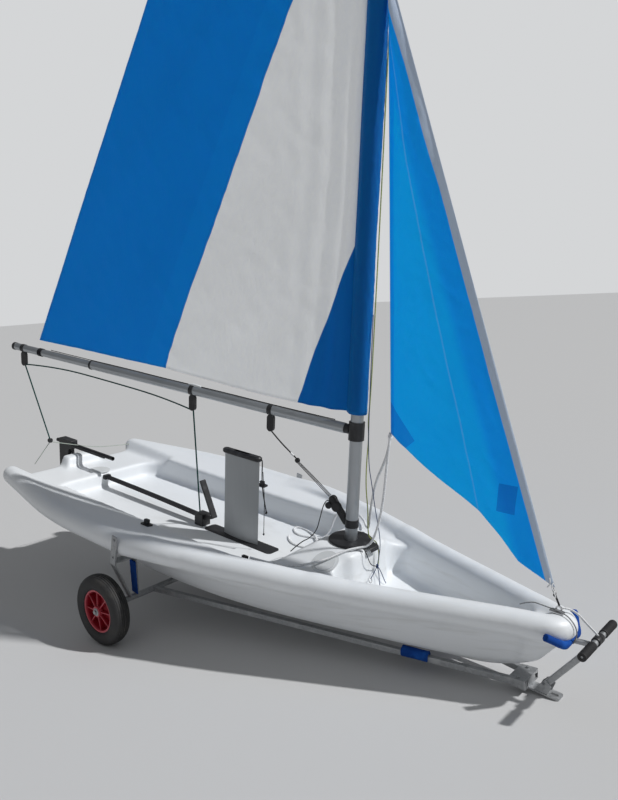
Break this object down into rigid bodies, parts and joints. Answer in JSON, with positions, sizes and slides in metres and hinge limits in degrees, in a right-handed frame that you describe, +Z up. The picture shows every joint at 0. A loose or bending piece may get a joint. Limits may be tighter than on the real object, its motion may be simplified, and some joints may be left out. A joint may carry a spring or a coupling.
{
  "type": "sailing dinghy on a launching trolley",
  "caption": "Small moulded sailing dinghy with main and jib set, standing on a two-wheeled launching trolley with a handle at the bow.",
  "frame": {"origin": "on the ground, under the middle of the outfit's overall box", "axes": "+X forward towards the bow, +Y to port, +Z up"},
  "size_m": [3.7981, 1.638, 5.4522],
  "materials": {
    "hull_plastic": "moulded",
    "white_plastic": "smooth",
    "black_plastic": "moulded",
    "board_plastic": "smooth",
    "black_webbing": "woven",
    "anodised_alloy": "satin",
    "galvanised_steel": "dull",
    "stainless_fitting": "polished",
    "main_cloth": "woven",
    "sleeve_cloth": "woven",
    "jib_cloth": "woven",
    "blue_foam": "soft",
    "tyre_rubber": "ribbed",
    "red_rim": "moulded",
    "grip_rubber": "ribbed"
  },
  "bodies": {
    "boat": {"bow_fitting": "stainless_fitting", "bow_snubber": "blue_foam", "deck_block_port": "black_plastic", "deck_block_starboard": "black_plastic", "gudgeon_lower": "stainless_fitting", "gudgeon_upper": "stainless_fitting", "gunwale_upright_port": "galvanised_steel", "gunwale_upright_starboard": "galvanised_steel", "handle_bar": "galvanised_steel", "handle_grip_port": "grip_rubber", "handle_grip_starboard": "grip_rubber", "handle_post": "galvanised_steel", "hatch_aft": "white_plastic", "hatch_console": "white_plastic", "hiking_strap": "black_webbing", "hull": "hull_plastic", "jib": "jib_cloth", "jib_fairlead_port": "black_plastic", "jib_fairlead_starboard": "black_plastic", "jib_tack_strop": "stainless_fitting", "mainsheet_base": "black_plastic", "mast_collar": "black_plastic", "rail_pad_port": "blue_foam", "rail_pad_starboard": "blue_foam", "slot_gasket": "black_plastic", "snubber_strut": "galvanised_steel", "strap_eye": "black_plastic", "trolley_axle": "galvanised_steel", "trolley_foot_plate": "galvanised_steel", "trolley_nose": "galvanised_steel", "trolley_rail_port": "galvanised_steel", "trolley_rail_starboard": "galvanised_steel"},
    "wheel_starboard": {"tyre_starboard": "tyre_rubber", "rim_starboard": "red_rim"},
    "wheel_port": {"tyre_port": "tyre_rubber", "rim_port": "red_rim"},
    "rig": {"boom_aft": "anodised_alloy", "boom_block_aft": "black_plastic", "boom_block_middle": "black_plastic", "boom_end_cap": "black_plastic", "boom_forward": "anodised_alloy", "boom_joint_sleeve": "black_plastic", "boom_vang_hook": "anodised_alloy", "clew_strap": "black_webbing", "gooseneck": "black_plastic", "mainsail": "main_cloth", "mainsail_luff_sleeve": "sleeve_cloth", "mast_ferrule": "black_plastic", "mast_lower": "anodised_alloy", "mast_upper": "anodised_alloy", "vang_tackle": "black_plastic"},
    "rudder": {"rudder_stock": "black_plastic", "tiller": "black_plastic", "tiller_extension": "black_plastic"},
    "daggerboard": {"daggerboard": "board_plastic", "daggerboard_head": "black_plastic"}
  },
  "joints": [
    {"name": "wheel_starboard_turn", "type": "hinge", "parent": "boat", "child": "wheel_starboard", "pos_m": [-0.38, -0.765, 0.186], "axis": [0, 1, 0], "continuous": true},
    {"name": "wheel_port_turn", "type": "hinge", "parent": "boat", "child": "wheel_port", "pos_m": [-0.38, 0.765, 0.186], "axis": [0, 1, 0], "continuous": true},
    {"name": "mast_turn", "type": "hinge", "parent": "boat", "child": "rig", "pos_m": [0.66175, 0, 0.50598], "axis": [0.1219, 0, 0.9925], "range_deg": [-99.4, 80.6]},
    {"name": "rudder_turn", "type": "hinge", "parent": "boat", "child": "rudder", "pos_m": [-1.74008, 0, 0.62961], "axis": [0.1219, 0, 0.9925], "range_deg": [-55, 55]},
    {"name": "daggerboard_slide", "type": "slide", "parent": "boat", "child": "daggerboard", "axis": [0.1219, 0, 0.9925], "range_m": [-0.478, 0.12]}
  ]
}
